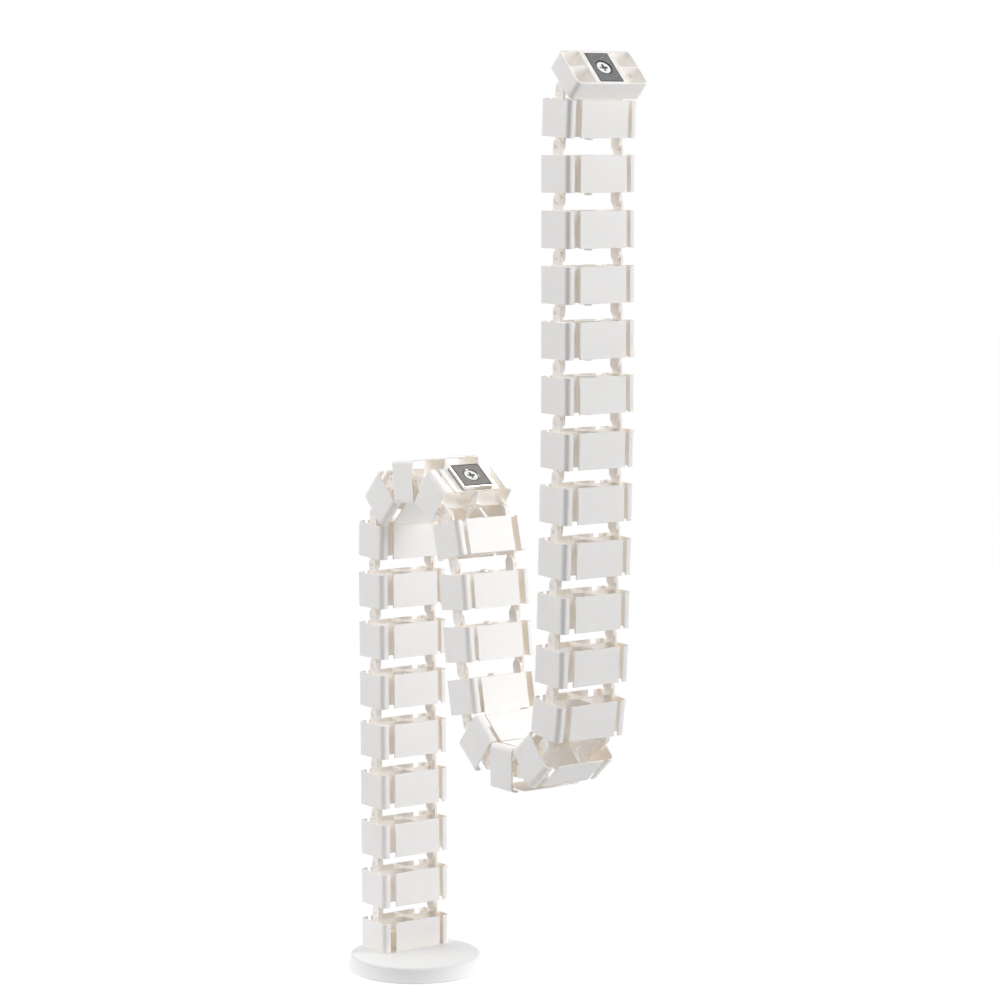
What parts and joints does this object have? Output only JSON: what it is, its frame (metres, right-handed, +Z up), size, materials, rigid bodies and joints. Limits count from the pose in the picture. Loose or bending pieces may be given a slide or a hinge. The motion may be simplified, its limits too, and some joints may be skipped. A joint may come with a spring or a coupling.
{
  "type": "cable spine",
  "caption": "Snap-together cable spine of slotted hinged links on a round weighted foot, draped in an S, with a tilting magnetic end piece.",
  "frame": {"origin": "centre of the foot's underside, on the floor", "axes": "+Z up; +X along the hinge pins, across the links; the chain steps from its first column towards -Y"},
  "size_m": [0.1068, 0.2974, 0.7208],
  "materials": {
    "link_plastic": "satin moulded white",
    "end_plastic": "satin moulded white",
    "foot_paint": "fine powder coat, white",
    "foot_rubber": "matt",
    "screw_steel": "bright zinc plate",
    "clip_magnet_plating": "bright nickel plate",
    "end_magnet_plating": "dark nickel plate, lightly rubbed"
  },
  "bodies": {
    "foot": {"link_01": "link_plastic", "foot_plate": "foot_paint", "foot_pad": "foot_rubber", "foot_screw_left": "screw_steel", "foot_screw_right": "screw_steel"},
    "segment_02": {"link_02": "link_plastic"},
    "segment_03": {"link_03": "link_plastic"},
    "segment_04": {"link_04": "link_plastic"},
    "segment_05": {"link_05": "link_plastic"},
    "segment_06": {"link_06": "link_plastic"},
    "segment_07": {"link_07": "link_plastic"},
    "segment_08": {"link_08": "link_plastic"},
    "segment_09": {"link_09": "link_plastic"},
    "segment_10": {"link_10": "link_plastic"},
    "segment_11": {"link_11": "link_plastic"},
    "segment_12": {"link_12": "link_plastic", "clip_magnet": "clip_magnet_plating", "clip_magnet_screw": "screw_steel"},
    "segment_13": {"link_13": "link_plastic"},
    "segment_14": {"link_14": "link_plastic"},
    "segment_15": {"link_15": "link_plastic"},
    "segment_16": {"link_16": "link_plastic"},
    "segment_17": {"link_17": "link_plastic"},
    "segment_18": {"link_18": "link_plastic"},
    "segment_19": {"link_19": "link_plastic"},
    "segment_20": {"link_20": "link_plastic"},
    "segment_21": {"link_21": "link_plastic"},
    "segment_22": {"link_22": "link_plastic"},
    "segment_23": {"link_23": "link_plastic"},
    "segment_24": {"link_24": "link_plastic"},
    "segment_25": {"link_25": "link_plastic"},
    "segment_26": {"link_26": "link_plastic"},
    "segment_27": {"link_27": "link_plastic"},
    "segment_28": {"link_28": "link_plastic"},
    "segment_29": {"link_29": "link_plastic"},
    "segment_30": {"link_30": "link_plastic"},
    "segment_31": {"link_31": "link_plastic"},
    "end_segment": {"end_link": "end_plastic", "end_magnet": "end_magnet_plating", "end_magnet_screw": "screw_steel"}
  },
  "joints": [
    {"name": "hinge_01", "type": "hinge", "parent": "foot", "child": "segment_02", "pos_m": [0.008, 0.0265, 0.0428], "axis": [1, 0, 0], "range_deg": [-42, 43]},
    {"name": "hinge_02", "type": "hinge", "parent": "segment_02", "child": "segment_03", "pos_m": [0.008, 0.02685, 0.0828], "axis": [-1, 0, 0], "range_deg": [-42.5, 42.5]},
    {"name": "hinge_03", "type": "hinge", "parent": "segment_03", "child": "segment_04", "pos_m": [0.008, 0.0272, 0.1228], "axis": [1, 0, 0], "range_deg": [-42.5, 42.5]},
    {"name": "hinge_04", "type": "hinge", "parent": "segment_04", "child": "segment_05", "pos_m": [0.008, 0.02755, 0.1628], "axis": [-1, 0, 0], "range_deg": [-42.5, 42.5]},
    {"name": "hinge_05", "type": "hinge", "parent": "segment_05", "child": "segment_06", "pos_m": [0.008, 0.0279, 0.20279], "axis": [1, 0, 0], "range_deg": [-42.5, 42.5]},
    {"name": "hinge_06", "type": "hinge", "parent": "segment_06", "child": "segment_07", "pos_m": [0.008, 0.02825, 0.24279], "axis": [-1, 0, 0], "range_deg": [-42.5, 42.5]},
    {"name": "hinge_07", "type": "hinge", "parent": "segment_07", "child": "segment_08", "pos_m": [0.008, 0.02859, 0.28279], "axis": [1, 0, 0], "range_deg": [-42, 43]},
    {"name": "hinge_08", "type": "hinge", "parent": "segment_08", "child": "segment_09", "pos_m": [0.008, 0.02929, 0.32278], "axis": [-1, 0, 0], "range_deg": [-37, 46]},
    {"name": "hinge_09", "type": "hinge", "parent": "segment_09", "child": "segment_10", "pos_m": [0.008, 0.02755, 0.36275], "axis": [1, 0, 0], "range_deg": [-84, 1]},
    {"name": "hinge_10", "type": "hinge", "parent": "segment_10", "child": "segment_11", "pos_m": [0.008, -0.00024, 0.39152], "axis": [-1, 0, 0], "range_deg": [-0.5, 84.5]},
    {"name": "hinge_11", "type": "hinge", "parent": "segment_11", "child": "segment_12", "pos_m": [0.008, -0.04014, 0.39431], "axis": [1, 0, 0], "range_deg": [-82, 3]},
    {"name": "hinge_12", "type": "hinge", "parent": "segment_12", "child": "segment_13", "pos_m": [0.008, -0.07271, 0.37108], "axis": [-1, 0, 0], "range_deg": [-2.5, 82.5]},
    {"name": "hinge_13", "type": "hinge", "parent": "segment_13", "child": "segment_14", "pos_m": [0.008, -0.08272, 0.33236], "axis": [1, 0, 0], "range_deg": [-50.5, 34.5]},
    {"name": "hinge_14", "type": "hinge", "parent": "segment_14", "child": "segment_15", "pos_m": [0.008, -0.08725, 0.29261], "axis": [-1, 0, 0], "range_deg": [-43.5, 41.5]},
    {"name": "hinge_15", "type": "hinge", "parent": "segment_15", "child": "segment_16", "pos_m": [0.008, -0.09247, 0.25296], "axis": [1, 0, 0], "range_deg": [-39, 46]},
    {"name": "hinge_16", "type": "hinge", "parent": "segment_16", "child": "segment_17", "pos_m": [0.008, -0.1001, 0.21369], "axis": [-1, 0, 0], "range_deg": [-81.5, 3.5]},
    {"name": "hinge_17", "type": "hinge", "parent": "segment_17", "child": "segment_18", "pos_m": [0.008, -0.13074, 0.18798], "axis": [1, 0, 0], "range_deg": [-2.5, 82.5]},
    {"name": "hinge_18", "type": "hinge", "parent": "segment_18", "child": "segment_19", "pos_m": [0.008, -0.17074, 0.18798], "axis": [-1, 0, 0], "range_deg": [-83, 2]},
    {"name": "hinge_19", "type": "hinge", "parent": "segment_19", "child": "segment_20", "pos_m": [0.008, -0.20116, 0.21396], "axis": [1, 0, 0], "range_deg": [-1, 84]},
    {"name": "hinge_20", "type": "hinge", "parent": "segment_20", "child": "segment_21", "pos_m": [0.008, -0.20673, 0.25357], "axis": [-1, 0, 0], "range_deg": [-47.5, 37.5]},
    {"name": "hinge_21", "type": "hinge", "parent": "segment_21", "child": "segment_22", "pos_m": [0.008, -0.20882, 0.29351], "axis": [1, 0, 0], "range_deg": [-41.5, 43.5]},
    {"name": "hinge_22", "type": "hinge", "parent": "segment_22", "child": "segment_23", "pos_m": [0.008, -0.21022, 0.33349], "axis": [-1, 0, 0], "range_deg": [-42, 43]},
    {"name": "hinge_23", "type": "hinge", "parent": "segment_23", "child": "segment_24", "pos_m": [0.008, -0.21196, 0.37345], "axis": [1, 0, 0], "range_deg": [-41.5, 43.5]},
    {"name": "hinge_24", "type": "hinge", "parent": "segment_24", "child": "segment_25", "pos_m": [0.008, -0.21301, 0.41344], "axis": [-1, 0, 0], "range_deg": [-42.5, 42.5]},
    {"name": "hinge_25", "type": "hinge", "parent": "segment_25", "child": "segment_26", "pos_m": [0.008, -0.21406, 0.45342], "axis": [1, 0, 0], "range_deg": [-41, 44]},
    {"name": "hinge_26", "type": "hinge", "parent": "segment_26", "child": "segment_27", "pos_m": [0.008, -0.21406, 0.49342], "axis": [-1, 0, 0], "range_deg": [-42.5, 42.5]},
    {"name": "hinge_27", "type": "hinge", "parent": "segment_27", "child": "segment_28", "pos_m": [0.008, -0.21406, 0.53342], "axis": [1, 0, 0], "range_deg": [-42.5, 42.5]},
    {"name": "hinge_28", "type": "hinge", "parent": "segment_28", "child": "segment_29", "pos_m": [0.008, -0.21406, 0.57342], "axis": [-1, 0, 0], "range_deg": [-42.5, 42.5]},
    {"name": "hinge_29", "type": "hinge", "parent": "segment_29", "child": "segment_30", "pos_m": [0.008, -0.21406, 0.61342], "axis": [1, 0, 0], "range_deg": [-42.5, 42.5]},
    {"name": "hinge_30", "type": "hinge", "parent": "segment_30", "child": "segment_31", "pos_m": [0.008, -0.21406, 0.65342], "axis": [-1, 0, 0], "range_deg": [-39, 46]},
    {"name": "hinge_31", "type": "hinge", "parent": "segment_31", "child": "end_segment", "pos_m": [0.008, -0.2165, 0.69335], "axis": [1, 0, 0], "range_deg": [-87.5, 3.5]}
  ]
}
